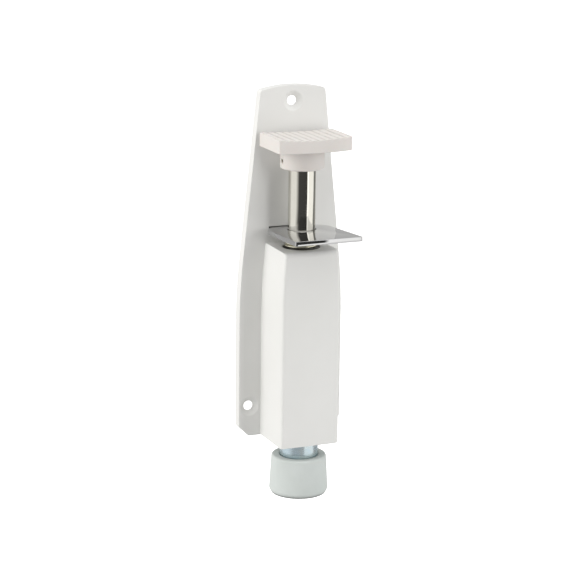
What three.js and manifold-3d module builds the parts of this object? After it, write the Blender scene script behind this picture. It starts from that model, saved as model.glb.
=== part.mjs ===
// Floor door holder: a foot pedal drives a plunger down until its rubber foot grips the floor,
// a canted plate locks the rod, and stepping on that plate lets the return spring lift it again.
// Units are millimetres. +X is right when facing the front, -Y is the front, +Z is up.
// Heights below are measured from the casting's bottom edge. The whole part is then lowered, so
// that its origin lies on the back face, midway between the two lower screw holes.

import * as THREE from 'three';
import { mergeVertices } from 'three/addons/utils/BufferGeometryUtils.js';
import Module from 'manifold-3d';

const wasm = await Module();
wasm.setup();

// ---------- driving dimensions ----------

const RUN = 0.06;             // radial clearance of a running fit
const TOUCH = 0.05;           // gap between faces that touch
const LOOSE = 0.2;            // gap round a loose washer or flange
const EDGE = 0.5;             // small chamfer on a turned piece
const SEG = 48;               // facets round a shaft or bore

const PLATE_T = 4.7;          // back plate thickness
const PLATE_HALF = 24.6;      // half-width of its straight lower part
const PLATE_STRAIGHT = 52;    // height where the sides start to draw in
const PLATE_BEND = 84;        // height where the drawn-in sides become straight
const PLATE_BEND_HALF = 22.8;
const PLATE_SHOULDER = 153;   // height of the top corners
const PLATE_SHOULDER_HALF = 15.6;
const PLATE_CROWN_SIDE = 156; // height of the arched top just inside those corners
const PLATE_TOP = 157.5;      // crown of the arched top
const TOP_CORNER = 2.2;
const BOTTOM_CHAMFER = 4.8;

const LOWER_HOLE_X = 19.5;    // screw holes
const LOWER_HOLE_Z = 13.8;
const TOP_HOLE_Z = 150.5;
const HOLE_R = 2.15;
const SINK_R = 4.4;
const SINK_DEPTH = 1.6;

const RECESS = 2.3;           // relief in the back of the plate
const RIM = 1.9;              // width of the rim left round the relief
const LAND_HALF = 11.5;       // flat land behind the housing
const LAND_TOP = 101;         // it runs up past the locking plate's pocket

const ROD_Y = -15.7;          // axis of the rod, in front of the back face
const HOUSING_FRONT = -28.2;
const HOUSING_TOP = 88;
const HOUSING_ROOT_HALF = 14.15;
const HOUSING_FRONT_HALF = 13.9;
const HOUSING_FLARE_FROM = 50; // above this height the sides draw in
const HOUSING_FLARE_POWER = 2.6;
const HOUSING_ROOT_DRAW = 2.05;
const HOUSING_FRONT_DRAW = 1.3;
const HOUSING_EDGE_R = 1.6;
const HOUSING_BROW_R = 2.4;   // round of the top front edge

const BORE_R = 10.8;
const BORE_TOP = 81;
const TOP_BORE_R = 8.3;
const TOP_BUSH_SUNK = 0.5;    // how far the top bush lies below the housing's top
const TOP_BUSH_FLANGE_T = 2;
const BOTTOM_BUSH_LENGTH = 8;
const SEAT_WASHER_T = 1;
const CLIP_GROOVE_R = 11.4;
const CLIP_GROOVE_Z = 1.6;
const CLIP_T = 1.1;
const CLIP_OPENING = 0.5;     // radians left open in a circlip
const BOTTOM_CLIP_R = 9;      // inner radius of the bottom circlip

const ROD_R = 6;
const ROD_BOTTOM = 57;
const ROD_TOP = 135.3;
const ROD_THREAD_R = 2.5;
const ROD_THREAD_DEPTH = 15;
const END_WASHER_T = 1.6;
const SCREW_HEAD_R = 4.2;
const SCREW_HEAD_T = 3;
const HEX_R = 2.2;
const HEX_DEPTH = 1.8;

const PEDAL_HALF = 16.9;
const PEDAL_REAR = 7.8;       // behind the rod's axis
const PEDAL_FRONT = 14.7;     // its front corners, ahead of the rod's axis
const PEDAL_BULGE = 2.6;      // how far the front face swells past those corners
const PEDAL_BOTTOM = 132;
const PEDAL_TOP = 138.1;
const PEDAL_DISH = 0.5;       // hollow of the tread across its width
const TREAD_RIBS = 10;
const TREAD_DEPTH = 0.45;     // depth of the grooves near the sides
const TREAD_SHALLOW = 0.25;   // how much less deep they are in the middle
const BOSS_R = 9.65;
const BOSS_BOTTOM = 122.7;
const PIN_Z = 126.4;
const PIN_R = 1.0;
const PIN_HOLE_R = 1.05;
const PIN_SUNK = 0.6;         // how far its ends lie inside the boss
const PIN_SLIT = 0.5;         // radians

const LOCK_T = 2.0;           // locking plate
const LOCK_TILT = 3;          // degrees, front up, at rest
const LOCK_TOP_Z = 95.75;     // its top face at the rod's axis
const LOCK_HOLE_R = 6.45;
const LOCK_FRONT = 30.5;      // ahead of the rod's axis
const LOCK_FRONT_HALF = 15.6;
const LOCK_SIDE_HALF = 14.65;
const LOCK_REAR = 10.1;       // behind the rod's axis
const LOCK_REAR_R = 8.8;
const LOCK_FRONT_R = 0.8;
const TONGUE_HALF = 10.4;
const TONGUE_REAR = 14.4;
const POCKET_HALF = 10.9;     // pocket in the back plate that the tongue pivots in
const POCKET_BOTTOM = 92.5;
const POCKET_TOP = 95.35;
const POCKET_WALL = 1;        // metal left behind it

const LEVER_WIRE_R = 0.6;
const LEVER_COIL_R = 6.85;
const LEVER_TURNS = 3.5;
const LEVER_SPRING_TOP = 93.2;

const TUBE_R = 8.5;
const TUBE_WALL = 1.3;
const TUBE_BOTTOM = -15.9;
const TUBE_TOP = 71.5;
const TUBE_LIP_R = 6.5;       // turned-in upper end
const TUBE_LIP_Z = 70;
const COLLAR_R = 10.5;
const COLLAR_TOP = 69.65;
const COLLAR_T = 1.8;
const COLLAR_CLIP_R = 9.6;    // outer radius of the collar's circlip
const TUBE_GROOVE_R = 8;

const RETURN_WIRE_R = 0.8;
const RETURN_COIL_R = 9.65;
const RETURN_TURNS = 9;
const PRESSURE_WIRE_R = 0.7;
const PRESSURE_COIL_R = 6.3;
const PRESSURE_TURNS = 12;

const FOOT_TOP = -7;
const FOOT_BOTTOM = -24.4;
const FOOT_TOP_R = 12.3;
const FOOT_BOTTOM_R = 13.15;
const FOOT_EDGE_R = 1.6;
const FOOT_SOCKET = -16;
const ANCHOR_R = 5;
const ANCHOR_BOTTOM = -20;
const PLUG_TOP = -7.5;

// ---------- materials ----------

function finish(color, roughness, metalness) {
  return new THREE.MeshStandardMaterial({ color, roughness, metalness });
}

const whiteCoat = finish(0xe6e6e2, 0.4, 0);
const whitePlastic = finish(0xece8e4, 0.5, 0);
const brightPlate = finish(0xd8d6cf, 0.08, 1);
const zincPlate = finish(0xc3ccd6, 0.3, 1);
const springSteel = finish(0xb9b39c, 0.3, 1);
const bushPlastic = finish(0xd9d4c4, 0.6, 0);
const blackPlastic = finish(0x1d1d1f, 0.5, 0);
const greyRubber = finish(0xd0d5d2, 0.85, 0);

// ---------- shape helpers ----------

/** Keeps only merged positions, and turns the faces outward. */
function clean(geometry) {
  const bare = geometry.clone();
  for (const name of ['normal', 'uv', 'color']) {
    if (bare.getAttribute(name)) bare.deleteAttribute(name);
  }
  bare.clearGroups();
  const merged = mergeVertices(bare, 1e-4);
  const position = merged.getAttribute('position');
  const index = merged.getIndex().array;
  const kept = [];
  const a = new THREE.Vector3();
  const b = new THREE.Vector3();
  const c = new THREE.Vector3();
  let volume = 0;
  for (let i = 0; i < index.length; i += 3) {
    const [p, q, r] = [index[i], index[i + 1], index[i + 2]];
    if (p === q || q === r || r === p) continue;
    kept.push(p, q, r);
    a.fromBufferAttribute(position, p);
    b.fromBufferAttribute(position, q);
    c.fromBufferAttribute(position, r);
    volume += a.dot(b.cross(c));
  }
  merged.setIndex(volume < 0 ? kept.reverse() : kept);
  return merged;
}

function toManifold(geometry) {
  const shape = clean(geometry);
  return new wasm.Manifold(new wasm.Mesh({
    numProp: 3,
    vertProperties: new Float32Array(shape.getAttribute('position').array),
    triVerts: new Uint32Array(shape.getIndex().array),
  }));
}

function fromManifold(solid) {
  const mesh = solid.getMesh();
  const geometry = new THREE.BufferGeometry();
  geometry.setAttribute('position', new THREE.BufferAttribute(mesh.vertProperties.slice(), 3));
  geometry.setIndex(new THREE.BufferAttribute(mesh.triVerts.slice(), 1));
  return geometry;
}

/** Joins the first list of shapes, then cuts the second list away. */
function carve(joined, cuts) {
  let solid = toManifold(joined[0]);
  for (const shape of joined.slice(1)) solid = solid.add(toManifold(shape));
  for (const shape of cuts) solid = solid.subtract(toManifold(shape));
  return fromManifold(solid);
}

function overlap(first, second) {
  return fromManifold(toManifold(first).intersect(toManifold(second)));
}

/** A turned piece about the Z axis, from [radius, height] points. */
function turned(points, segments = SEG) {
  const profile = points.map(([r, z]) => new THREE.Vector2(r, z));
  return new THREE.LatheGeometry(profile, segments).rotateX(Math.PI / 2);
}

function rod(radius, bottom, top, segments = SEG) {
  return turned([[0, bottom], [radius, bottom], [radius, top], [0, top]], segments);
}

function ring(inner, outer, bottom, top, segments = SEG) {
  return turned([[inner, bottom], [outer, bottom], [outer, top], [inner, top], [inner, bottom]], segments);
}

/** A rod along X, centred on the given height. */
function crossRod(radius, half, height) {
  return rod(radius, -half, half, 20).rotateY(Math.PI / 2).translate(0, 0, height);
}

function box(x0, x1, y0, y1, z0, z1) {
  return new THREE.BoxGeometry(x1 - x0, y1 - y0, z1 - z0)
    .translate((x0 + x1) / 2, (y0 + y1) / 2, (z0 + z1) / 2);
}

/** Extrudes a front-view (X, Z) outline from y = front back to y = rear. */
function frontExtrude(shape, front, rear, curveSegments = 8) {
  return new THREE.ExtrudeGeometry(shape, { depth: rear - front, bevelEnabled: false, curveSegments })
    .rotateX(Math.PI / 2)
    .translate(0, rear, 0);
}

/** Extrudes a plan-view (X, Y) outline from z = bottom up to z = top. */
function planExtrude(shape, bottom, top, curveSegments = 8) {
  return new THREE.ExtrudeGeometry(shape, { depth: top - bottom, bevelEnabled: false, curveSegments })
    .translate(0, 0, bottom);
}

/** Joins rings of points, each with the same count, into a closed skin with flat ends. */
function loft(rings) {
  const count = rings[0].length;
  const positions = rings.flat(2);
  const index = [];
  for (let level = 0; level + 1 < rings.length; level += 1) {
    for (let i = 0; i < count; i += 1) {
      const a = level * count + i;
      const b = level * count + (i + 1) % count;
      index.push(a, b, b + count, a, b + count, a + count);
    }
  }
  const last = (rings.length - 1) * count;
  for (let i = 1; i + 1 < count; i += 1) {
    index.push(0, i + 1, i);
    index.push(last, last + i, last + i + 1);
  }
  const geometry = new THREE.BufferGeometry();
  geometry.setAttribute('position', new THREE.Float32BufferAttribute(positions, 3));
  geometry.setIndex(index);
  return geometry;
}

class Helix extends THREE.Curve {
  constructor(radius, bottom, top, turns) {
    super();
    Object.assign(this, { radius, bottom, top, turns });
  }

  getPoint(t, target = new THREE.Vector3()) {
    const angle = 2 * Math.PI * this.turns * t;
    const height = this.bottom + (this.top - this.bottom) * t;
    return target.set(this.radius * Math.cos(angle), this.radius * Math.sin(angle), height);
  }
}

/** A coil spring whose wire fills the height from bottom to top. */
function coil(coilR, wireR, bottom, top, turns, stepsPerTurn, sides) {
  const section = new THREE.Shape();
  for (let i = 0; i < sides; i += 1) {
    const angle = 2 * Math.PI * i / sides;
    const point = [wireR * Math.cos(angle), wireR * Math.sin(angle)];
    if (i === 0) section.moveTo(...point);
    else section.lineTo(...point);
  }
  return new THREE.ExtrudeGeometry(section, {
    steps: Math.round(turns * stepsPerTurn),
    extrudePath: new Helix(coilR, bottom + wireR, top - wireR, turns),
  });
}

/** An open retaining ring with a gap towards the front. */
function snapRing(inner, outer, bottom) {
  const start = -Math.PI / 2 + CLIP_OPENING / 2;
  const end = start + 2 * Math.PI - CLIP_OPENING;
  const shape = new THREE.Shape();
  shape.absarc(0, 0, outer, start, end, false);
  shape.absarc(0, 0, inner, end, start, true);
  shape.closePath();
  return planExtrude(shape, bottom, bottom + CLIP_T, 20);
}

// ---------- body casting ----------

/** Outline of the back plate, pulled in by inset, as a front view. */
function plateOutline(inset) {
  const bottom = inset;
  const chamfer = BOTTOM_CHAMFER + 0.4 * inset;
  const half = PLATE_HALF - inset;
  const bendHalf = PLATE_BEND_HALF - inset;
  const shoulderHalf = PLATE_SHOULDER_HALF - inset;
  const shoulder = PLATE_SHOULDER - inset;
  const crownSide = PLATE_CROWN_SIDE - inset;
  const crownHalf = shoulderHalf - TOP_CORNER;
  const top = PLATE_TOP - inset;
  const middle = (PLATE_STRAIGHT + PLATE_BEND) / 2;
  const shape = new THREE.Shape();
  shape.moveTo(-half + chamfer, bottom);
  shape.lineTo(half - chamfer, bottom);
  shape.lineTo(half, bottom + chamfer);
  shape.lineTo(half, PLATE_STRAIGHT);
  shape.quadraticCurveTo(half, middle, bendHalf, PLATE_BEND);
  shape.lineTo(shoulderHalf, shoulder);
  shape.quadraticCurveTo(shoulderHalf, crownSide, crownHalf, crownSide);
  shape.quadraticCurveTo(0, 2 * top - crownSide, -crownHalf, crownSide);
  shape.quadraticCurveTo(-shoulderHalf, crownSide, -shoulderHalf, shoulder);
  shape.lineTo(-bendHalf, PLATE_BEND);
  shape.quadraticCurveTo(-half, middle, -half, PLATE_STRAIGHT);
  shape.lineTo(-half, bottom + chamfer);
  shape.closePath();
  return shape;
}

/** One level of the housing: a box with rounded front corners, drawn in towards the top. */
function housingLevel(height, setBack) {
  const rise = Math.max(0, (height - HOUSING_FLARE_FROM) / (HOUSING_TOP - HOUSING_FLARE_FROM));
  const draw = rise ** HOUSING_FLARE_POWER;
  const rootHalf = HOUSING_ROOT_HALF - HOUSING_ROOT_DRAW * draw;
  const centreX = HOUSING_FRONT_HALF - HOUSING_FRONT_DRAW * draw - HOUSING_EDGE_R;
  const centreY = HOUSING_FRONT + setBack + HOUSING_EDGE_R;
  const level = [];
  const steps = 5;
  for (const side of [-1, 1]) {
    for (let i = 0; i <= steps; i += 1) {
      const quarter = side < 0 ? i / steps : 1 - i / steps;
      const angle = (Math.PI / 2) * quarter;
      const x = side * (centreX + HOUSING_EDGE_R * Math.cos(angle));
      level.push([x, centreY - HOUSING_EDGE_R * Math.sin(angle), height]);
    }
  }
  level.push([rootHalf, -PLATE_T / 2, height]);
  level.push([-rootHalf, -PLATE_T / 2, height]);
  return level;
}

function housing() {
  const rings = [housingLevel(0, 0)];
  const flareSteps = 8;
  const browBottom = HOUSING_TOP - HOUSING_BROW_R;
  for (let i = 0; i < flareSteps; i += 1) {
    const height = HOUSING_FLARE_FROM + (browBottom - HOUSING_FLARE_FROM) * i / flareSteps;
    rings.push(housingLevel(height, 0));
  }
  const browSteps = 6;
  for (let i = 0; i <= browSteps; i += 1) {
    const angle = (Math.PI / 2) * (i / browSteps);
    const setBack = HOUSING_BROW_R * (1 - Math.cos(angle));
    rings.push(housingLevel(browBottom + HOUSING_BROW_R * Math.sin(angle), setBack));
  }
  return loft(rings);
}

/** A countersunk screw hole through the plate, as a cutting shape along Y. */
function screwHole(x, z) {
  const past = 1;
  return turned([
    [0, -past],
    [HOLE_R, -past],
    [HOLE_R, PLATE_T - SINK_DEPTH],
    [SINK_R, PLATE_T],
    [SINK_R, PLATE_T + past],
    [0, PLATE_T + past],
  ], 32).rotateX(Math.PI / 2).translate(x, 0, z);
}

/** Relief in the back of the plate: all of it inside the rim, except the land in the middle. */
function backRelief() {
  const inside = frontExtrude(plateOutline(RIM), -RECESS, 1, 12);
  const land = box(-LAND_HALF, LAND_HALF, -RECESS - 1, 2, -1, LAND_TOP);
  return carve([inside], [land]);
}

function tonguePocket() {
  return box(-POCKET_HALF, POCKET_HALF, -PLATE_T - 1, -POCKET_WALL, POCKET_BOTTOM, POCKET_TOP);
}

function bodyCasting() {
  const plate = frontExtrude(plateOutline(0), -PLATE_T, 0, 12);
  const grooveTop = CLIP_GROOVE_Z + CLIP_T + 2 * TOUCH;
  const bores = [
    rod(BORE_R, -1, BORE_TOP),
    rod(TOP_BORE_R, BORE_TOP - 1, HOUSING_TOP + 1),
    rod(CLIP_GROOVE_R, CLIP_GROOVE_Z - TOUCH, grooveTop),
  ].map((shape) => shape.translate(0, ROD_Y, 0));
  return carve([plate, housing()], [
    backRelief(),
    tonguePocket(),
    ...bores,
    screwHole(-LOWER_HOLE_X, LOWER_HOLE_Z),
    screwHole(LOWER_HOLE_X, LOWER_HOLE_Z),
    screwHole(0, TOP_HOLE_Z),
  ]);
}

// ---------- guides and springs in the housing ----------

const topBushTop = HOUSING_TOP - TOP_BUSH_SUNK;
const bottomBushZ = CLIP_GROOVE_Z + CLIP_T + TOUCH;
const seatWasherZ = bottomBushZ + BOTTOM_BUSH_LENGTH + TOUCH;
const returnSpringBottom = seatWasherZ + SEAT_WASHER_T + TOUCH;
const returnSpringTop = COLLAR_TOP - COLLAR_T - TOUCH;

function topGuideBush() {
  const flangeTop = BORE_TOP - TOUCH;
  const flangeBottom = flangeTop - TOP_BUSH_FLANGE_T;
  const hole = ROD_R + RUN;
  return turned([
    [hole, flangeBottom],
    [BORE_R - LOOSE, flangeBottom],
    [BORE_R - LOOSE, flangeTop],
    [TOP_BORE_R - TOUCH, flangeTop],
    [TOP_BORE_R - TOUCH, topBushTop],
    [hole, topBushTop],
    [hole, flangeBottom],
  ]);
}

function bottomGuideBush() {
  return ring(TUBE_R + RUN, BORE_R - TOUCH, bottomBushZ, bottomBushZ + BOTTOM_BUSH_LENGTH);
}

function seatWasher() {
  return ring(TUBE_R + LOOSE, BORE_R - LOOSE, seatWasherZ, seatWasherZ + SEAT_WASHER_T);
}

// ---------- rod and pedal ----------

function pushRod() {
  const bar = turned([
    [0, ROD_BOTTOM],
    [ROD_R, ROD_BOTTOM],
    [ROD_R, ROD_TOP - EDGE],
    [ROD_R - EDGE, ROD_TOP],
    [0, ROD_TOP],
  ]);
  return carve([bar], [
    rod(ROD_THREAD_R, ROD_BOTTOM - 1, ROD_BOTTOM + ROD_THREAD_DEPTH, 24),
    crossRod(PIN_HOLE_R, ROD_R + 1, PIN_Z),
  ]);
}

/** Front view of the pedal slab: flat below, with grooves across a dished top. */
function treadOutline() {
  const pointsPerRib = 6;
  const count = TREAD_RIBS * pointsPerRib;
  const shape = new THREE.Shape();
  shape.moveTo(-PEDAL_HALF, PEDAL_BOTTOM);
  shape.lineTo(PEDAL_HALF, PEDAL_BOTTOM);
  for (let i = count; i >= 0; i -= 1) {
    const across = 2 * i / count - 1;
    const middle = 1 - across ** 2;
    const isEnd = i === 0 || i === count;
    const groove = isEnd ? 0 : Math.max(0, Math.cos(2 * Math.PI * i / pointsPerRib));
    const depth = (TREAD_DEPTH - TREAD_SHALLOW * middle) * groove;
    shape.lineTo(across * PEDAL_HALF, PEDAL_TOP - PEDAL_DISH * middle - depth);
  }
  shape.closePath();
  return shape;
}

function pedalPlan() {
  const shape = new THREE.Shape();
  shape.moveTo(-PEDAL_HALF, PEDAL_REAR);
  shape.lineTo(-PEDAL_HALF, -PEDAL_FRONT);
  shape.quadraticCurveTo(0, -PEDAL_FRONT - 2 * PEDAL_BULGE, PEDAL_HALF, -PEDAL_FRONT);
  shape.lineTo(PEDAL_HALF, PEDAL_REAR);
  shape.closePath();
  return shape;
}

function pedal() {
  const reach = PEDAL_FRONT + PEDAL_BULGE + 1;
  const slab = overlap(
    frontExtrude(treadOutline(), -reach, PEDAL_REAR + 1),
    planExtrude(pedalPlan(), PEDAL_BOTTOM - 1, PEDAL_TOP + 1, 16),
  );
  const boss = turned([
    [0, BOSS_BOTTOM],
    [BOSS_R - EDGE, BOSS_BOTTOM],
    [BOSS_R, BOSS_BOTTOM + EDGE],
    [BOSS_R, PEDAL_BOTTOM + 1],
    [0, PEDAL_BOTTOM + 1],
  ]);
  return carve([slab, boss], [
    rod(ROD_R + RUN, BOSS_BOTTOM - 1, ROD_TOP + LOOSE),
    crossRod(PIN_HOLE_R, BOSS_R + 1, PIN_Z),
  ]);
}

/** A rolled spring pin, slit along its underside, lying along X. */
function pedalPin() {
  const half = BOSS_R - PIN_SUNK;
  const innerR = 0.55 * PIN_R;
  const start = -Math.PI / 2 + PIN_SLIT / 2;
  const end = start + 2 * Math.PI - PIN_SLIT;
  const shape = new THREE.Shape();
  shape.absarc(0, 0, PIN_R, start, end, false);
  shape.absarc(0, 0, innerR, end, start, true);
  shape.closePath();
  return planExtrude(shape, -half, half, 14)
    .rotateZ(-Math.PI / 2)
    .rotateY(Math.PI / 2)
    .translate(0, 0, PIN_Z);
}

const washerTop = ROD_BOTTOM - TOUCH;
const washerBottom = washerTop - END_WASHER_T;
const screwHeadTop = washerBottom - TOUCH;

function rodEndWasher() {
  return ring(ROD_THREAD_R + 2 * TOUCH, TUBE_R - TUBE_WALL - 2 * TOUCH, washerBottom, washerTop);
}

function rodEndScrew() {
  const shankR = ROD_THREAD_R - TOUCH;
  const headBottom = screwHeadTop - SCREW_HEAD_T;
  const shankTop = ROD_BOTTOM + ROD_THREAD_DEPTH - 1;
  const body = turned([
    [0, headBottom],
    [SCREW_HEAD_R, headBottom],
    [SCREW_HEAD_R, screwHeadTop],
    [shankR, screwHeadTop],
    [shankR, shankTop],
    [0, shankTop],
  ], 24);
  return carve([body], [rod(HEX_R, headBottom - 1, headBottom + HEX_DEPTH, 6)]);
}

// ---------- piston tube and foot ----------

const tubeInnerR = TUBE_R - TUBE_WALL;
const collarClipZ = COLLAR_TOP + TOUCH;

function pistonTube() {
  const clipTop = collarClipZ + CLIP_T + TOUCH;
  return turned([
    [tubeInnerR, TUBE_BOTTOM],
    [TUBE_R, TUBE_BOTTOM],
    [TUBE_R, collarClipZ - TOUCH],
    [TUBE_GROOVE_R, collarClipZ - TOUCH],
    [TUBE_GROOVE_R, clipTop],
    [TUBE_R, clipTop],
    [TUBE_R, TUBE_TOP],
    [TUBE_LIP_R, TUBE_TOP],
    [TUBE_LIP_R, TUBE_LIP_Z],
    [tubeInnerR, TUBE_LIP_Z],
    [tubeInnerR, TUBE_BOTTOM],
  ]);
}

function springCollar() {
  return ring(TUBE_R + TOUCH, COLLAR_R, COLLAR_TOP - COLLAR_T, COLLAR_TOP);
}

function tubeGuideBush() {
  return ring(ROD_R + RUN, tubeInnerR - TOUCH, ROD_BOTTOM, TUBE_LIP_Z - TOUCH);
}

const pressureSpringTop = washerBottom - TOUCH;

function footPlug() {
  return turned([
    [0, ANCHOR_BOTTOM],
    [ANCHOR_R, ANCHOR_BOTTOM],
    [ANCHOR_R, TUBE_BOTTOM],
    [tubeInnerR - TOUCH, TUBE_BOTTOM],
    [tubeInnerR - TOUCH, PLUG_TOP],
    [0, PLUG_TOP],
  ]);
}

function rubberFoot() {
  const edge = [];
  const steps = 4;
  for (let i = 0; i <= steps; i += 1) {
    const angle = (Math.PI / 2) * (i / steps);
    edge.push([
      FOOT_BOTTOM_R - FOOT_EDGE_R * (1 - Math.sin(angle)),
      FOOT_BOTTOM + FOOT_EDGE_R * (1 - Math.cos(angle)),
    ]);
  }
  const socketR = TUBE_R + TOUCH;
  return turned([
    [0, FOOT_BOTTOM],
    ...edge,
    [FOOT_TOP_R, FOOT_TOP - EDGE],
    [FOOT_TOP_R - EDGE, FOOT_TOP],
    [socketR, FOOT_TOP],
    [socketR, FOOT_SOCKET],
    [ANCHOR_R + TOUCH, FOOT_SOCKET],
    [ANCHOR_R + TOUCH, ANCHOR_BOTTOM - TOUCH],
    [0, ANCHOR_BOTTOM - TOUCH],
  ]);
}

// ---------- locking plate ----------

/** The plate lies about the rod's axis: straight front, rounded rear corners, wide rear tongue. */
function lockingPlate() {
  const centreX = LOCK_SIDE_HALF - LOCK_REAR_R;
  const centreY = LOCK_REAR - LOCK_REAR_R;
  const toTongue = Math.acos((TONGUE_HALF - centreX) / LOCK_REAR_R);
  const shape = new THREE.Shape();
  shape.moveTo(-LOCK_FRONT_HALF + LOCK_FRONT_R, -LOCK_FRONT);
  shape.lineTo(LOCK_FRONT_HALF - LOCK_FRONT_R, -LOCK_FRONT);
  shape.lineTo(LOCK_FRONT_HALF, -LOCK_FRONT + LOCK_FRONT_R);
  shape.lineTo(LOCK_SIDE_HALF, centreY);
  shape.absarc(centreX, centreY, LOCK_REAR_R, 0, toTongue, false);
  shape.lineTo(TONGUE_HALF, TONGUE_REAR);
  shape.lineTo(-TONGUE_HALF, TONGUE_REAR);
  shape.absarc(-centreX, centreY, LOCK_REAR_R, Math.PI - toTongue, Math.PI, false);
  shape.lineTo(-LOCK_FRONT_HALF, -LOCK_FRONT + LOCK_FRONT_R);
  shape.closePath();
  return carve([planExtrude(shape, -LOCK_T, 0, 8)], [rod(LOCK_HOLE_R, -LOCK_T - 1, 1)]);
}

// ---------- assembly ----------

const part = new THREE.Group();
part.position.z = -LOWER_HOLE_Z;

const onAxis = new THREE.Group();
onAxis.position.y = ROD_Y;
part.add(onAxis);

function add(parent, name, geometry, material) {
  const mesh = new THREE.Mesh(clean(geometry), material.clone());
  mesh.name = name;
  parent.add(mesh);
  return mesh;
}

add(part, 'body_casting', bodyCasting(), whiteCoat);

add(onAxis, 'top_guide_bush', topGuideBush(), blackPlastic);
add(onAxis, 'bottom_guide_bush', bottomGuideBush(), bushPlastic);
add(onAxis, 'bottom_circlip',
  snapRing(BOTTOM_CLIP_R, CLIP_GROOVE_R - 2 * TOUCH, CLIP_GROOVE_Z), springSteel);
add(onAxis, 'spring_seat_washer', seatWasher(), zincPlate);
add(onAxis, 'return_spring',
  coil(RETURN_COIL_R, RETURN_WIRE_R, returnSpringBottom, returnSpringTop, RETURN_TURNS, 14, 6),
  springSteel);
add(onAxis, 'lever_spring',
  coil(LEVER_COIL_R, LEVER_WIRE_R, topBushTop + TOUCH, LEVER_SPRING_TOP, LEVER_TURNS, 20, 8),
  springSteel);

add(onAxis, 'push_rod', pushRod(), brightPlate);
add(onAxis, 'pedal', pedal(), whitePlastic);
add(onAxis, 'pedal_pin', pedalPin(), springSteel);
add(onAxis, 'rod_end_washer', rodEndWasher(), zincPlate);
add(onAxis, 'rod_end_screw', rodEndScrew(), zincPlate);
add(onAxis, 'pressure_spring',
  coil(PRESSURE_COIL_R, PRESSURE_WIRE_R, PLUG_TOP + TOUCH, pressureSpringTop, PRESSURE_TURNS, 14, 6),
  springSteel);

add(onAxis, 'piston_tube', pistonTube(), zincPlate);
add(onAxis, 'spring_collar', springCollar(), zincPlate);
add(onAxis, 'collar_circlip',
  snapRing(TUBE_GROOVE_R + TOUCH, COLLAR_CLIP_R, collarClipZ), springSteel);
add(onAxis, 'tube_guide_bush', tubeGuideBush(), bushPlastic);
add(onAxis, 'foot_plug', footPlug(), zincPlate);
add(onAxis, 'rubber_foot', rubberFoot(), greyRubber);

const lock = add(onAxis, 'locking_plate', lockingPlate(), brightPlate);
lock.position.z = LOCK_TOP_Z;
lock.rotation.x = -THREE.MathUtils.degToRad(LOCK_TILT);

export default part;
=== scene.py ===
"""Floor door holder: the looks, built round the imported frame. Lengths are in metres."""

import math

import bmesh
import bpy
from mathutils import Matrix, Vector


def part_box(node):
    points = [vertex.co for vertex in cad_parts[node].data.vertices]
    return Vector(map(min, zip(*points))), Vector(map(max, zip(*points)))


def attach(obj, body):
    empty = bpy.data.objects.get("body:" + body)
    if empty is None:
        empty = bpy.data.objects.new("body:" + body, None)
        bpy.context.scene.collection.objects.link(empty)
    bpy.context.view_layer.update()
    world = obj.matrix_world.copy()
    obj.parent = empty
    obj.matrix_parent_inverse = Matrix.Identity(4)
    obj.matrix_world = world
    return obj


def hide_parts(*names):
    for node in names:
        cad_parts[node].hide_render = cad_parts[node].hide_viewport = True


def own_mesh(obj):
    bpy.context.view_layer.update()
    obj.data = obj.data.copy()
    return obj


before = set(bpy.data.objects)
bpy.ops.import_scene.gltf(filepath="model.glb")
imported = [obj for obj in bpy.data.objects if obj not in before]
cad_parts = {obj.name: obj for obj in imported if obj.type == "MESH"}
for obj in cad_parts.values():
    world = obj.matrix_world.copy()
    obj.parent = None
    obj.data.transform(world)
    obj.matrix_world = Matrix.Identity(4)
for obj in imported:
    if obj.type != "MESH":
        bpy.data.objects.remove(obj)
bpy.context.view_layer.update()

MM = 0.001

# ---------- places and sizes taken from the frame ----------


def node_box(name):
    low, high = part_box(name)
    return Vector(low), Vector(high)


CASTING_LOW, CASTING_HIGH = node_box("body_casting")
PEDAL_LOW, PEDAL_HIGH = node_box("pedal")
FOOT_LOW, FOOT_HIGH = node_box("rubber_foot")
TUBE_LOW, TUBE_HIGH = node_box("piston_tube")
ROD_LOW, ROD_HIGH = node_box("push_rod")
AXIS = Vector(((ROD_LOW.x + ROD_HIGH.x) / 2, (ROD_LOW.y + ROD_HIGH.y) / 2, 0))
ROD_R = (ROD_HIGH.x - ROD_LOW.x) / 2
TUBE_R = (TUBE_HIGH.x - TUBE_LOW.x) / 2
TREAD_RIBS = 10
TREAD_PITCH = (PEDAL_HIGH.x - PEDAL_LOW.x) / TREAD_RIBS

# ---------- mesh helpers ----------

WELD = 1e-6                      # points closer than this are one
FINE_WELD = 1e-7
SHARP = 35                       # degrees between faces, above which an edge shows
PLATE_SHARP = 30
SOFT_SHARP = 45
WIRE_SHARP = 50
NEARLY_STRAIGHT = math.radians(179)
CORNER_SHARE = 0.45              # the most of a side that one rounded corner takes
TURNED_SIDES = 128
PLATE_EDGE_STEPS = 3
FLAT = math.radians(0.5)         # CAD facets closer to flat than this are joined
BEVEL_FROM = math.radians(28)
BEVEL_STEPS = 3
CREASE = math.radians(40)
FACE_AREA_WEIGHT = 100
WIRE_SIDES = 12
COIL_STEPS = 40                  # to a turn
CLOSED_PITCH = 2.02              # closed end coils, in wire radii to a turn


def link(obj):
    bpy.context.scene.collection.objects.link(obj)
    return obj


def evaluated(piece):
    """The piece's mesh with its modifiers applied."""
    bpy.context.view_layer.update()
    return bpy.data.meshes.new_from_object(piece.evaluated_get(bpy.context.evaluated_depsgraph_get()))


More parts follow.
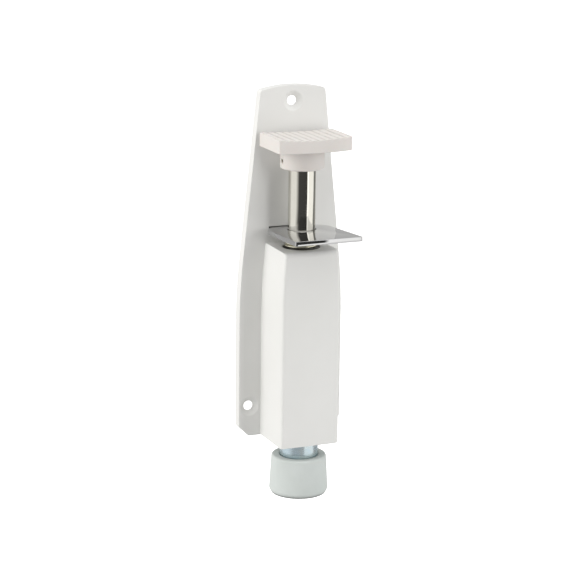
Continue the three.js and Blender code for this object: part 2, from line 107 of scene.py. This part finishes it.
def finished(name, mesh, weld, sharp_degrees):
    """An object from a mesh whose doubled points are joined and whose faces look outward."""
    edit = bmesh.new()
    edit.from_mesh(mesh)
    bmesh.ops.remove_doubles(edit, verts=edit.verts, dist=weld)
    bmesh.ops.recalc_face_normals(edit, faces=edit.faces)
    edit.to_mesh(mesh)
    edit.free()
    mesh.validate()
    mesh.shade_smooth()
    mesh.set_sharp_from_angle(angle=math.radians(sharp_degrees))
    return link(bpy.data.objects.new(name, mesh))


def mesh_object(name, points, faces, sharp_degrees):
    mesh = bpy.data.meshes.new(name)
    mesh.from_pydata(points, [], faces)
    return finished(name, mesh, FINE_WELD, sharp_degrees)


def rounded(points, radius, steps=5, closed=True):
    """A 2-D outline with its corners rounded. An open outline keeps its ends."""
    result = []
    count = len(points)
    for i, point in enumerate(points):
        here = Vector(point)
        before = Vector(points[i - 1]) - here
        after = Vector(points[(i + 1) % count]) - here
        end = not closed and i in (0, count - 1)
        if end or before.angle(after) > NEARLY_STRAIGHT:
            result.append(here)
            continue
        reach = radius / math.tan(before.angle(after) / 2)
        reach = min(reach, CORNER_SHARE * before.length, CORNER_SHARE * after.length)
        first = here + before.normalized() * reach
        last = here + after.normalized() * reach
        for step in range(steps + 1):
            t = step / steps
            result.append((1 - t) ** 2 * first + 2 * t * (1 - t) * here + t ** 2 * last)
    return result


def turned(name, profile, sharp_degrees=SHARP):
    """A piece turned about the rod's axis, from (radius, height) points.
    A profile whose ends are both off the axis closes on itself."""
    points = []
    faces = []
    rings = []
    for radius, height in profile:
        if radius < FINE_WELD:
            rings.append([len(points)])
            points.append((AXIS.x, AXIS.y, height))
            continue
        ring = []
        for i in range(TURNED_SIDES):
            angle = math.tau * i / TURNED_SIDES
            ring.append(len(points))
            points.append((AXIS.x + radius * math.cos(angle), AXIS.y + radius * math.sin(angle), height))
        rings.append(ring)
    pairs = list(zip(rings, rings[1:]))
    if len(rings[0]) > 1 and len(rings[-1]) > 1:
        pairs.append((rings[-1], rings[0]))
    for low, high in pairs:
        for i in range(TURNED_SIDES):
            j = i + 1
            face = [low[i % len(low)], low[j % len(low)], high[j % len(high)], high[i % len(high)]]
            face = list(dict.fromkeys(face))
            if len(face) > 2:
                faces.append(face)
    return mesh_object(name, points, faces, sharp_degrees)


def arc(cx, cy, radius, start, end, steps):
    """Points along an arc, its angles in degrees."""
    points = []
    for i in range(steps + 1):
        angle = math.radians(start + (end - start) * i / steps)
        points.append((cx + radius * math.cos(angle), cy + radius * math.sin(angle)))
    return points


def slab(name, loops, thick, edge, place):
    """A flat plate with rounded edges, its top at place. The first plan-view loop is its outline
    and the others are holes."""
    curve = bpy.data.curves.new(name, "CURVE")
    curve.dimensions = "2D"
    curve.fill_mode = "BOTH"
    curve.extrude = thick / 2 - edge
    curve.bevel_depth = edge
    curve.bevel_resolution = PLATE_EDGE_STEPS
    curve.offset = -edge
    for loop in loops:
        spline = curve.splines.new("POLY")
        spline.points.add(len(loop) - 1)
        for point, (x, y) in zip(spline.points, loop):
            point.co = (x, y, 0, 1)
        spline.use_cyclic_u = True
    source = link(bpy.data.objects.new(name + "_curve", curve))
    mesh = evaluated(source)
    bpy.data.objects.remove(source)
    mesh.name = name
    mesh.transform(place @ Matrix.Translation((0, 0, -thick / 2)))
    return finished(name, mesh, WELD, PLATE_SHARP)


def moulded(name, node, radius, crisp=None):
    """The CAD node's shape with its sharp edges rounded, as casting and moulding leave them.
    Edges inside the crisp box stay sharp."""
    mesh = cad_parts[node].data.copy()
    edit = bmesh.new()
    edit.from_mesh(mesh)
    bmesh.ops.remove_doubles(edit, verts=edit.verts, dist=WELD)
    bmesh.ops.dissolve_limit(edit, angle_limit=FLAT, verts=edit.verts, edges=edit.edges)
    sharp = []
    for edge in edit.edges:
        middle = (edge.verts[0].co + edge.verts[1].co) / 2
        spared = crisp is not None and all(crisp[0][i] <= middle[i] <= crisp[1][i] for i in range(3))
        if edge.is_manifold and edge.calc_face_angle() > BEVEL_FROM and not spared:
            sharp.append(edge)
    bmesh.ops.bevel(edit, geom=sharp, offset=radius, offset_type="OFFSET", segments=BEVEL_STEPS,
                    profile=0.5, affect="EDGES", clamp_overlap=False, loop_slide=False)
    bmesh.ops.remove_doubles(edit, verts=edit.verts, dist=WELD)
    bmesh.ops.recalc_face_normals(edit, faces=edit.faces)
    for face in edit.faces:
        face.smooth = True
    for edge in edit.edges:
        edge.smooth = edge.is_manifold and edge.calc_face_angle() < CREASE
    edit.to_mesh(mesh)
    edit.free()
    mesh.validate()
    piece = link(bpy.data.objects.new(name, mesh))
    weighted = piece.modifiers.new("WeightedNormal", "WEIGHTED_NORMAL")
    weighted.keep_sharp = True
    weighted.weight = FACE_AREA_WEIGHT
    split = piece.modifiers.new("Triangulate", "TRIANGULATE")
    split.min_vertices = 5
    split.keep_custom_normals = True
    result = evaluated(piece)
    piece.modifiers.clear()
    piece.data = result
    result.name = name
    return piece


def coil(name, low, high, coil_r, wire_r, turns, dead):
    """A compression spring on the rod's axis. At each end its dead turns are closed up."""
    closed_pitch = CLOSED_PITCH * wire_r
    open_turns = turns - 2 * dead
    open_pitch = (high - low - 2 * wire_r - 2 * dead * closed_pitch) / open_turns
    points = []
    faces = []
    steps = round(turns * COIL_STEPS)
    for i in range(steps + 1):
        turn = turns * i / steps
        below = min(turn, dead) * closed_pitch
        middle = min(max(turn - dead, 0), open_turns) * open_pitch
        above = max(turn - (turns - dead), 0) * closed_pitch
        height = low + wire_r + below + middle + above
        angle = math.tau * turn
        for k in range(WIRE_SIDES):
            around = math.tau * k / WIRE_SIDES
            radius = coil_r + wire_r * math.cos(around)
            points.append((
                AXIS.x + radius * math.cos(angle),
                AXIS.y + radius * math.sin(angle),
                height + wire_r * math.sin(around),
            ))
    for i in range(steps):
        for k in range(WIRE_SIDES):
            a = i * WIRE_SIDES + k
            b = i * WIRE_SIDES + (k + 1) % WIRE_SIDES
            faces.append((a, b, b + WIRE_SIDES, a + WIRE_SIDES))
    faces.append(tuple(reversed(range(WIRE_SIDES))))
    faces.append(tuple(steps * WIRE_SIDES + k for k in range(WIRE_SIDES)))
    return mesh_object(name, points, faces, WIRE_SHARP)


def seat(piece, body, slot, material, *nodes):
    """Puts a piece on its body, gives it its finish and hides the CAD nodes that it stands for."""
    piece.data.materials.clear()
    piece.data.materials.append(material)
    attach(piece, body)
    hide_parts(*nodes)


# ---------- materials ----------

NOISE_LOW, NOISE_HIGH = 0.3, 0.7  # nearly all of a noise's values lie between these
BLACK = (0, 0, 0)
WHITE = (1, 1, 1)
# the places of a Mix node's sockets when it mixes colours
MIX_FACTOR, MIX_FIRST, MIX_SECOND = 0, 6, 7
MIX_RESULT = 2


class Nodes:
    """A node tree whose nodes are added by name. Sockets are named with _ for each space."""

    def __init__(self, tree, coordinates):
        self.tree = tree
        self.place = self.add("TexCoord").outputs[coordinates]

    def feed(self, socket, value):
        """Gives an input another node's output, a colour, a vector or a number."""
        if isinstance(value, bpy.types.NodeSocket):
            self.tree.links.new(value, socket)
        elif socket.type == "RGBA":
            socket.default_value = (*value, 1)
        else:
            socket.default_value = value

    def fill(self, node, **inputs):
        for name, value in inputs.items():
            self.feed(node.inputs[name.replace("_", " ")], value)
        return node

    def add(self, kind, **inputs):
        return self.fill(self.tree.nodes.new("ShaderNode" + kind), **inputs)

    def noise(self, scale, detail, roughness=0.55, vector=None):
        """A noise whose scale is its patches to the metre."""
        place = vector or self.place
        node = self.add("TexNoise", Scale=scale, Detail=detail, Roughness=roughness, Vector=place)
        return node.outputs["Fac"]

    def streaks(self, scales, detail, roughness=0.5):
        """A stretched noise, with a scale for each axis."""
        stretched = self.add("Mapping", Vector=self.place, Scale=scales)
        return self.noise(1.0, detail, roughness, stretched.outputs["Vector"])

    def ramp(self, value, stops):
        node = self.add("ValToRGB", Fac=value)
        while len(node.color_ramp.elements) < len(stops):
            node.color_ramp.elements.new(0.5)
        for element, (position, colour) in zip(node.color_ramp.elements, stops):
            element.position = position
            element.color = (*colour, 1)
        return node.outputs["Color"]

    def tones(self, noise, first, second):
        """A noise's patches in two colours that run into each other."""
        return self.ramp(noise, [(NOISE_LOW, first), (NOISE_HIGH, second)])

    def spread(self, noise, low, high):
        """A noise's values spread over the range from low to high."""
        node = self.add("MapRange", Value=noise, To_Min=low, To_Max=high)
        self.fill(node, From_Min=NOISE_LOW, From_Max=NOISE_HIGH)
        return node.outputs["Result"]

    def between(self, value, start, end, low=0.0, high=1.0):
        """Goes smoothly from low to high while the value goes from start to end."""
        node = self.add("MapRange", Value=value, From_Min=start, From_Max=end, To_Min=low, To_Max=high)
        node.interpolation_type = "SMOOTHSTEP"
        return node.outputs["Result"]

    def along(self, vector, axis):
        return self.add("SeparateXYZ", Vector=vector).outputs[axis]

    def facing(self, axis):
        """How far the surface faces along an axis, from -1 to 1."""
        return self.along(self.add("NewGeometry").outputs["Normal"], axis)

    def maths(self, operation, *values):
        node = self.add("Math")
        node.operation = operation
        for socket, value in zip(node.inputs, values):
            self.feed(socket, value)
        return node.outputs["Value"]

    def mix(self, factor, first, second, blend="MIX"):
        node = self.add("Mix")
        node.data_type = "RGBA"
        node.blend_type = blend
        self.feed(node.inputs[MIX_FACTOR], factor)
        self.feed(node.inputs[MIX_FIRST], first)
        self.feed(node.inputs[MIX_SECOND], second)
        return node.outputs[MIX_RESULT]

    def bump(self, height, strength, distance, **under):
        """A bumped normal, on top of an earlier one where Normal is given."""
        node = self.add("Bump", Strength=strength, Distance=distance, Height=height, **under)
        return node.outputs["Normal"]


class Finish(Nodes):
    """A Principled material, on object coordinates in metres."""

    def __init__(self, name):
        self.material = bpy.data.materials.new(name)
        self.material.use_nodes = True
        super().__init__(self.material.node_tree, "Object")
        self.shader = self.tree.nodes["Principled BSDF"]

    def set(self, **inputs):
        self.fill(self.shader, **inputs)


def powder_coat():
    """White powder coat: fine orange peel, faint clouding and a few dust specks."""
    f = Finish("white_powder_coat")
    f.set(Specular_IOR_Level=0.45, Coat_Weight=0.12, Coat_Roughness=0.3)
    cloud = f.tones(f.noise(28, 3), (0.765, 0.765, 0.745), (0.800, 0.800, 0.785))
    specks = f.ramp(f.noise(1500, 2), [(0.0, (0.86, 0.85, 0.82)), (0.30, WHITE), (1.0, WHITE)])
    peel = f.bump(f.noise(620, 3, 0.5), 0.22, 0.12 * MM)
    f.set(
        Base_Color=f.mix(0.5, cloud, specks, "MULTIPLY"),
        Roughness=f.spread(f.noise(60, 4), 0.34, 0.46),
        Normal=f.bump(f.noise(2600, 2), 0.12, 0.04 * MM, Normal=peel),
    )
    return f.material


def moulded_plastic():
    """Warm white moulded plastic with a light satin grain, scuffs and painted shade in the tread's grooves.
    """
    f = Finish("warm_white_plastic")
    f.set(Specular_IOR_Level=0.4, Subsurface_Weight=0.04, Subsurface_Scale=0.001)
    tone = f.tones(f.noise(45, 4), (0.680, 0.645, 0.616), (0.730, 0.697, 0.670))
    scuffs = f.streaks((900, 90, 300), 6, 0.7)
    worn = f.ramp(scuffs, [(0.62, BLACK), (0.74, (0.35, 0.35, 0.35))])
    darkened_tone = f.mix(worn, tone, (0.60, 0.565, 0.53))
    across = f.maths("COSINE", f.maths("MULTIPLY", f.along(f.place, "X"), math.tau / TREAD_PITCH))
    groove = f.between(across, 0.1, 0.9)
    patchy = f.spread(f.streaks((900, 420, 200), 3, 0.6), 0.15, 0.75)
    level = f.between(f.facing("Z"), 0.80, 0.92)
    # painted shade: the tread's grooves are darkened in patches on upward faces, standing in for the shade
    # inside them
    groove_shade = f.maths("MULTIPLY", f.maths("MULTIPLY", groove, patchy), level)
    grain = f.bump(f.noise(1900, 3), 0.25, 0.05 * MM)
    f.set(
        Base_Color=f.mix(groove_shade, darkened_tone, (0.42, 0.395, 0.36)),
        Roughness=f.spread(f.noise(180, 4), 0.42, 0.58),
        Normal=f.bump(f.noise(120, 3), 0.15, 0.2 * MM, Normal=grain),
    )
    return f.material


def polished_plate(name, dull, bright, hair_scales, smooth, hazy):
    """Bright plate with hairline polishing marks and a haze that takes its roughness from smooth to hazy."""
    f = Finish(name)
    f.set(
        Metallic=1.0,
        Base_Color=f.tones(f.noise(70, 3), dull, bright),
        Roughness=f.spread(f.noise(240, 5, 0.6), smooth, hazy),
        Normal=f.bump(f.streaks(hair_scales, 3, 0.6), 0.10, 0.02 * MM),
    )
    return f.material


def zinc_plate():
    """Blue-passivated zinc with turning rings and a faint rainbow cast."""
    f = Finish("blue_zinc")
    cast = f.ramp(f.noise(85, 3, 0.6), [
        (0.30, (0.60, 0.76, 0.86)),
        (0.48, (0.68, 0.81, 0.88)),
        (0.60, (0.71, 0.80, 0.82)),
        (0.74, (0.62, 0.77, 0.86)),
    ])
    rings = f.streaks((60, 60, 4200), 2)
    f.set(
        Metallic=1.0,
        Base_Color=cast,
        Roughness=f.spread(rings, 0.20, 0.34),
        Normal=f.bump(rings, 0.25, 0.03 * MM),
    )
    return f.material


def spring_wire():
    """Drawn spring wire, plated, with fine drawing marks."""
    f = Finish("spring_wire")
    f.set(
        Metallic=1.0,
        Base_Color=f.tones(f.noise(300, 3), (0.72, 0.69, 0.55), (0.88, 0.85, 0.71)),
        Roughness=f.spread(f.noise(900, 3), 0.07, 0.16),
        Normal=f.bump(f.streaks((300, 300, 5200), 2), 0.08, 0.02 * MM),
    )
    return f.material


def acetal(name, first, second, smooth, rough):
    """An acetal bush with fine turning marks."""
    f = Finish(name)
    f.set(
        Specular_IOR_Level=0.4,
        Base_Color=f.tones(f.noise(120, 3), first, second),
        Roughness=f.spread(f.noise(400, 3), smooth, rough),
        Normal=f.bump(f.streaks((40, 40, 3000), 2), 0.2, 0.04 * MM),
    )
    return f.material


def foot_rubber():
    """Light grey-green rubber, finely textured, patchily darker low down, with painted shade round the edge
    of its sole.
    """
    f = Finish("light_grey_rubber")
    f.set(Specular_IOR_Level=0.3, Sheen_Weight=0.08)
    height = f.along(f.place, "Z")
    sole = FOOT_LOW.z
    tone = f.tones(f.noise(55, 4), (0.562, 0.600, 0.583), (0.618, 0.656, 0.640))
    # darker towards the sole, in patches
    low = f.between(height, sole + 2.6 * MM, sole)
    patchy = f.ramp(f.noise(420, 4, 0.6), [(0.35, BLACK), (0.65, (0.45, 0.45, 0.45))])
    darkened_tone = f.mix(f.mix(low, BLACK, patchy), tone, (0.40, 0.42, 0.40))
    # painted shade: a dark band round the edge of the sole, standing in for the shade under its rounded edge
    edge = f.between(height, sole + 1.1 * MM, sole + 0.2 * MM)
    grain = f.bump(f.noise(2400, 3), 0.35, 0.06 * MM)
    f.set(
        Base_Color=f.mix(edge, darkened_tone, (0.16, 0.17, 0.165)),
        Roughness=f.spread(f.noise(300, 4), 0.62, 0.80),
        Normal=f.bump(f.noise(160, 3), 0.2, 0.2 * MM, Normal=grain),
    )
    return f.material


COAT = powder_coat()
PLASTIC = moulded_plastic()
ROD_PLATE = polished_plate("bright_nickel", (0.77, 0.75, 0.68), (0.83, 0.81, 0.75),
                           (900, 900, 40), smooth=0.045, hazy=0.11)
LOCK_PLATE = polished_plate("bright_chrome", (0.53, 0.53, 0.537), (0.58, 0.58, 0.587),
                            (60, 900, 60), smooth=0.015, hazy=0.03)
ZINC = zinc_plate()
WIRE = spring_wire()
ACETAL = acetal("natural_acetal", (0.70, 0.68, 0.60), (0.78, 0.76, 0.69), smooth=0.42, rough=0.6)
# painted shade: black stands in for the shade inside the housing's mouth under the lever coil, and darkens
# the coil's reflections
SHADE_BLACK_ACETAL = acetal("black_acetal_painted_shade", (0.012, 0.012, 0.013), (0.024, 0.024, 0.025), smooth=0.35, rough=0.5)
RUBBER = foot_rubber()

# ---------- casting and pedal ----------

CASTING_EDGE_R = 0.3 * MM
PEDAL_EDGE_R = 0.25 * MM
POCKET_DEPTH = 5 * MM            # of the box round the locking plate's pocket, whose edges stay crisp
POCKET_SLACK = 1 * MM            # of that box above and below the locking plate


def body_casting():
    plate_low, plate_high = node_box("locking_plate")
    pocket = (
        Vector((plate_low.x, CASTING_HIGH.y - POCKET_DEPTH, plate_low.z - POCKET_SLACK)),
        Vector((plate_high.x, CASTING_HIGH.y, plate_high.z + POCKET_SLACK)),
    )
    piece = moulded("casting", "body_casting", CASTING_EDGE_R, crisp=pocket)
    seat(piece, "housing", "white_coat", COAT, "body_casting")


def pedal():
    piece = moulded("foot_pedal", "pedal", PEDAL_EDGE_R)
    seat(piece, "rod", "white_plastic", PLASTIC, "pedal")


# ---------- rod, tube and foot ----------

FIT = 0.05 * MM                  # gap between faces that touch
ROD_EDGE_R = 0.5 * MM
TUBE_WALL = 1.3 * MM
TUBE_LIP_R = 6.5 * MM            # bore of the tube's turned-in upper end
TUBE_LIP_T = 1.5 * MM
TUBE_GROOVE_R = 8 * MM           # bottom of the collar circlip's groove
TUBE_EDGE_R = 0.15 * MM
CUP_DRAW = 0.9 * MM              # how much narrower the cup is at its top and at its sole's edge
CUP_WAIST = 1.6 * MM             # height of its widest place above the sole
CUP_EDGE_R = 1.1 * MM
CUP_LIP = 0.35 * MM              # width and depth of the break round its mouth
CUP_LIP_DEPTH = 0.4 * MM
CUP_FLOOR = 0.1 * MM             # gap under the tube
ANCHOR_R = 5.05 * MM             # pocket round the plug's anchor
RIDGES = (4 * MM, 7 * MM, 10 * MM)  # middle radii of the ridges under the sole
RIDGE_TOP_HALF = 0.7 * MM
RIDGE_ROOT_HALF = 1.3 * MM
RIDGE_DEPTH = 1.1 * MM
RIDGE_EDGE_R = 0.3 * MM


def push_rod():
    profile = [(0, ROD_LOW.z), (ROD_R, ROD_LOW.z), (ROD_R, ROD_HIGH.z), (0, ROD_HIGH.z)]
    bar = turned("plated_rod", rounded(profile, ROD_EDGE_R, closed=False))
    seat(bar, "rod", "bright_plate", ROD_PLATE, "push_rod")


def piston_tube():
    bore = TUBE_R - TUBE_WALL
    lip_z = TUBE_HIGH.z - TUBE_LIP_T
    clip_low, clip_high = node_box("collar_circlip")
    groove_low = clip_low.z - FIT
    groove_high = clip_high.z + FIT
    profile = rounded([
        (bore, TUBE_LOW.z),
        (TUBE_R, TUBE_LOW.z),
        (TUBE_R, groove_low),
        (TUBE_GROOVE_R, groove_low),
        (TUBE_GROOVE_R, groove_high),
        (TUBE_R, groove_high),
        (TUBE_R, TUBE_HIGH.z),
        (TUBE_LIP_R, TUBE_HIGH.z),
        (TUBE_LIP_R, lip_z),
        (bore, lip_z),
    ], TUBE_EDGE_R, 3)
    seat(turned("zinc_tube", profile), "foot", "zinc_plate", ZINC, "piston_tube")


def rubber_foot():
    waist_r = (FOOT_HIGH.x - FOOT_LOW.x) / 2
    top = FOOT_HIGH.z
    sole = FOOT_LOW.z
    between_ridges = sole + RIDGE_DEPTH
    socket_r = TUBE_R + FIT
    socket_z = TUBE_LOW.z - CUP_FLOOR
    anchor_z = node_box("foot_plug")[0].z - FIT
    tread = [(0, between_ridges)]
    for middle in RIDGES:
        tread += rounded([
            (middle - RIDGE_ROOT_HALF, between_ridges),
            (middle - RIDGE_TOP_HALF, sole),
            (middle + RIDGE_TOP_HALF, sole),
            (middle + RIDGE_ROOT_HALF, between_ridges),
        ], RIDGE_EDGE_R, 3, closed=False)
    side = rounded([
        (waist_r - CUP_DRAW, sole),
        (waist_r, sole + CUP_WAIST),
        (waist_r - CUP_DRAW, top),
        (socket_r + CUP_LIP, top),
        (socket_r, top - CUP_LIP_DEPTH),
    ], CUP_EDGE_R, 6, closed=False)
    inside = [(socket_r, socket_z), (ANCHOR_R, socket_z), (ANCHOR_R, anchor_z), (0, anchor_z)]
    cup = turned("rubber_cup", tread + side + inside, SOFT_SHARP)
    seat(cup, "foot", "grey_rubber", RUBBER, "rubber_foot")


# ---------- locking plate ----------

LOCK_TILT = math.radians(3)      # front up, at rest
LOCK_TOP = 95.75 * MM            # its top face at the rod's axis, above the casting's lower edge
LOCK_T = 2 * MM
LOCK_EDGE_R = 0.22 * MM
LOCK_HOLE_R = 6.45 * MM
LOCK_FRONT = -30.5 * MM
LOCK_FRONT_HALF = 15.6 * MM
LOCK_FRONT_R = 1 * MM
LOCK_SIDE_HALF = 14.65 * MM
LOCK_REAR = 10.1 * MM
LOCK_REAR_R = 8.8 * MM
TONGUE_HALF = 10.4 * MM
TONGUE_REAR = 14.4 * MM
LOCK_FRONT_STEPS = 5
LOCK_REAR_STEPS = 20
LOCK_HOLE_STEPS = 120


def locking_plate():
    """The plate in its own plane, with the rod's axis at the origin and its front towards -Y."""
    front_x = LOCK_FRONT_HALF - LOCK_FRONT_R
    front_y = LOCK_FRONT + LOCK_FRONT_R
    rear_x = LOCK_SIDE_HALF - LOCK_REAR_R
    rear_y = LOCK_REAR - LOCK_REAR_R
    to_tongue = math.degrees(math.acos((TONGUE_HALF - rear_x) / LOCK_REAR_R))
    outline = arc(-front_x, front_y, LOCK_FRONT_R, 180, 270, LOCK_FRONT_STEPS)
    outline += arc(front_x, front_y, LOCK_FRONT_R, 270, 360, LOCK_FRONT_STEPS)
    outline += arc(rear_x, rear_y, LOCK_REAR_R, 0, to_tongue, LOCK_REAR_STEPS)
    outline += [(TONGUE_HALF, TONGUE_REAR), (-TONGUE_HALF, TONGUE_REAR)]
    outline += arc(-rear_x, rear_y, LOCK_REAR_R, 180 - to_tongue, 180, LOCK_REAR_STEPS)
    hole = arc(0, 0, LOCK_HOLE_R, 0, -360, LOCK_HOLE_STEPS)[:-1]
    top = Matrix.Translation((AXIS.x, AXIS.y, CASTING_LOW.z + LOCK_TOP))
    place = top @ Matrix.Rotation(-LOCK_TILT, 4, "X")
    piece = slab("release_plate", (outline, hole), LOCK_T, LOCK_EDGE_R, place)
    seat(piece, "lever", "bright_plate", LOCK_PLATE, "locking_plate")


# ---------- springs ----------


def spring(name, node, body, wire_r, turns, dead):
    """A coil in its CAD node's place."""
    low, high = node_box(node)
    coil_r = (high.x - low.x) / 2 - wire_r
    piece = coil(name, low.z, high.z, coil_r, wire_r, turns, dead)
    seat(piece, body, "spring_steel", WIRE, node)
    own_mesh(piece)


# ---------- stage, light and camera ----------

STROKE = 25.5 * MM
# the holder hangs on its door; pressed right down, its foot meets the floor
FLOOR_Z = FOOT_LOW.z - STROKE
FLOOR_HALF = 12
FLOOR_TONES = (0.93, 0.93, 0.93), (0.95, 0.95, 0.95)

# the room that bright metal shows: (bearing, brightness), bearings in degrees from straight in
# front and positive to the right
ROOM = [
    (-180, 0.60), (-165, 0.55), (-138, 0.55), (-128, 0.88), (-80, 0.88), (-54, 0.06),
    (16.3, 0.05), (16.4, 1.45), (26, 1.45), (28, 1.08), (80, 1.08), (84, 0.12),
    (95, 0.20), (160, 0.60), (180, 0.60),
]
ROOM_TINT = Vector((1, 0.995, 0.975))
# that room is turned a little to the right, and to the left where it lies well below the horizon.
# The steps are heights on a sphere of radius 1, where one goes over into the other.
TURN_BELOW, TURN_ABOVE = -4.0 / 360, 6.5 / 360
STEP_LOW, STEP_HIGH = -0.22, -0.17
# overhead and underfoot the room is even: the heights where that starts and is complete, and its brightness
OVERHEAD = 0.55, 0.85, 1.22
UNDERFOOT = -0.30, -0.55, 0.73

WARM = (1.0, 0.987, 0.965)
COOL = (0.99, 0.985, 0.985)


def floor():
    """A pale floor for the camera alone: it doesn't light or shade the object and isn't mirrored in it."""
    corners = [(-1, -1), (1, -1), (1, 1), (-1, 1)]
    mesh = bpy.data.meshes.new("floor")
    mesh.from_pydata([(x * FLOOR_HALF, y * FLOOR_HALF, FLOOR_Z) for x, y in corners], [], [(0, 1, 2, 3)])
    obj = link(bpy.data.objects.new("floor", mesh))
    f = Finish("pale_floor")
    f.set(Roughness=0.9, Specular_IOR_Level=0.1, Emission_Strength=0.4)
    f.set(Base_Color=f.tones(f.noise(2, 2), *FLOOR_TONES))
    mesh.materials.append(f.material)
    obj.visible_diffuse = False
    obj.visible_shadow = False
    obj.visible_glossy = False


def softbox(name, bearing, lift, distance, width, height, power, colour):
    """A rectangular light aimed at the object, its bearing as in ROOM and its lift in degrees too."""
    light = bpy.data.lights.new(name, "AREA")
    light.shape = "RECTANGLE"
    light.size = width
    light.size_y = height
    light.energy = power
    light.color = colour
    obj = link(bpy.data.objects.new(name, light))
    turn, tip = math.radians(bearing), math.radians(lift)
    out = Vector((math.sin(turn) * math.cos(tip), -math.cos(turn) * math.cos(tip), math.sin(tip)))
    aim = Vector((0, AXIS.y, (CASTING_LOW.z + CASTING_HIGH.z) / 2))
    obj.location = aim + distance * out
    obj.rotation_euler = (-out).to_track_quat("-Z", "Y").to_euler()
    obj.visible_glossy = False


def sky_panel():
    """A broad, weak light from straight above."""
    sky = bpy.data.lights.new("sky_panel", "SUN")
    sky.energy = 0.3
    sky.angle = math.radians(50)
    link(bpy.data.objects.new("sky_panel", sky)).visible_glossy = False


def surroundings():
    """A pale room, dark behind the camera, so that bright metal shows dark bands."""
    world = bpy.data.worlds.new("studio")
    bpy.context.scene.world = world
    world.use_nodes = True
    w = Nodes(world.node_tree, "Generated")
    height = w.along(w.place, "Z")
    # 0 to 1 once round the room, from behind, by the left, the front (0.5) and the right
    bearing = w.maths("ARCTAN2", w.along(w.place, "X"), w.maths("MULTIPLY", w.along(w.place, "Y"), -1.0))
    share = w.maths("MULTIPLY_ADD", bearing, 1 / math.tau, 0.5)
    turn = w.between(height, STEP_LOW, STEP_HIGH, TURN_BELOW, TURN_ABOVE)
    stops = [((degrees + 180) / 360, level * ROOM_TINT) for degrees, level in ROOM]
    walls = w.ramp(w.maths("SUBTRACT", share, turn), stops)
    for start, end, level in (OVERHEAD, UNDERFOOT):
        walls = w.mix(w.between(height, start, end), walls, (level, level, level))
    # the camera itself sees plain white behind the object
    seen = w.mix(w.add("LightPath").outputs["Is Camera Ray"], walls, WHITE)
    w.fill(w.tree.nodes["Background"], Color=seen)


def studio():
    surroundings()
    sky_panel()
    softbox("left_box", bearing=-85, lift=14, distance=1.1,
            width=0.9, height=1.0, power=7.0, colour=WARM)
    softbox("front_left_box", bearing=-55, lift=14, distance=1.1,
            width=0.9, height=1.0, power=1.3, colour=WARM)
    softbox("front_right_box", bearing=24, lift=14, distance=1.15,
            width=0.22, height=0.5, power=2.4, colour=COOL)
    softbox("right_box", bearing=50, lift=10, distance=1.15,
            width=0.6, height=0.8, power=1.6, colour=COOL)


def camera():
    """The camera stands low on the left, with a long lens and a slight roll."""
    azimuth = math.radians(22.87)
    elevation = math.radians(13.86)
    roll = math.radians(0.665)
    distance = 0.919
    aim_right = 1.5 * MM
    aim_height = 64.5 * MM
    target = Vector((aim_right, 0, CASTING_LOW.z + aim_height))
    back = Vector((-math.sin(azimuth) * math.cos(elevation),
                   -math.cos(azimuth) * math.cos(elevation), math.sin(elevation)))
    level = Vector((math.cos(azimuth), -math.sin(azimuth), 0))
    upright = back.cross(level)
    right = math.cos(roll) * level + math.sin(roll) * upright
    up = back.cross(right)
    data = bpy.data.cameras.new("camera")
    data.sensor_width = 36
    data.lens = 127.6
    data.clip_start = 0.01
    data.clip_end = 100
    obj = link(bpy.data.objects.new("camera", data))
    turn = Matrix((right, up, back)).transposed().to_4x4()
    obj.matrix_world = Matrix.Translation(target + distance * back) @ turn
    bpy.context.scene.camera = obj


# ---------- the object ----------

body_casting()
pedal()
push_rod()
piston_tube()
rubber_foot()
locking_plate()
spring("lever_coil", "lever_spring", "housing", wire_r=0.6 * MM, turns=3.6, dead=0.5)
spring("return_coil", "return_spring", "housing", wire_r=0.8 * MM, turns=9.5, dead=1.0)
spring("pressure_coil", "pressure_spring", "rod", wire_r=0.7 * MM, turns=13, dead=1.0)

# CAD nodes that keep their own shape, with their finishes
CARRIED = {
    # the top guide bush's black is painted shade for the housing's mouth
    "top_guide_bush": SHADE_BLACK_ACETAL, "bottom_guide_bush": ACETAL, "tube_guide_bush": ACETAL,
    "bottom_circlip": WIRE, "collar_circlip": WIRE, "pedal_pin": WIRE,
    "spring_seat_washer": ZINC, "spring_collar": ZINC, "rod_end_washer": ZINC,
    "rod_end_screw": ZINC, "foot_plug": ZINC,
}
for node_name, carried_material in CARRIED.items():
    for material_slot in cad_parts[node_name].material_slots:
        material_slot.material = carried_material

floor()
studio()
camera()
bpy.context.scene.view_settings.view_transform = "Standard"

bpy.context.view_layer.update()
